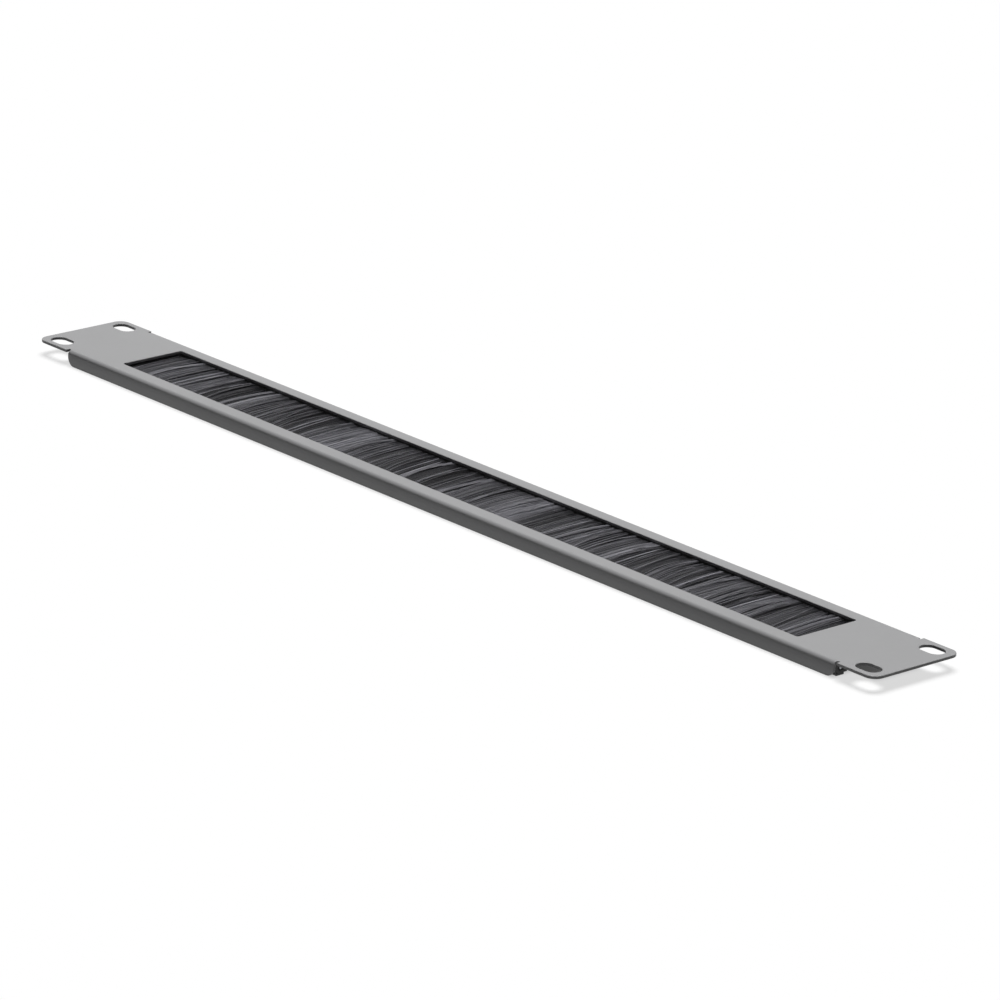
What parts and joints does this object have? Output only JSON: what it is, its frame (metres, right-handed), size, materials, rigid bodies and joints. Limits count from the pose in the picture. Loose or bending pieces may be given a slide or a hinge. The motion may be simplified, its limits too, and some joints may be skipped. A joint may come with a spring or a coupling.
{
  "type": "rack brush strip panel",
  "caption": "Flanged rack panel, one unit high, with slotted ears and a long cable window closed by a strip brush carried behind its near edge",
  "frame": {"origin": "middle of the panel, on the plane of the free edges of its two flanges", "axes": "+X along the rack width, +Y across the panel from the brush side to the tip side, +Z out of the painted face"},
  "size_m": [0.4826, 0.044, 0.0063],
  "materials": {
    "panel_coat": "satin grey powder coat",
    "black_coat": "black coated steel",
    "zinc_steel": "zinc plated",
    "bristle": "black nylon filament"
  },
  "bodies": {
    "root": {"front_panel": "panel_coat", "retaining_rail": "black_coat", "brush_channel": "black_coat", "core_wire": "zinc_steel", "bristles": "bristle"}
  },
  "joints": []
}
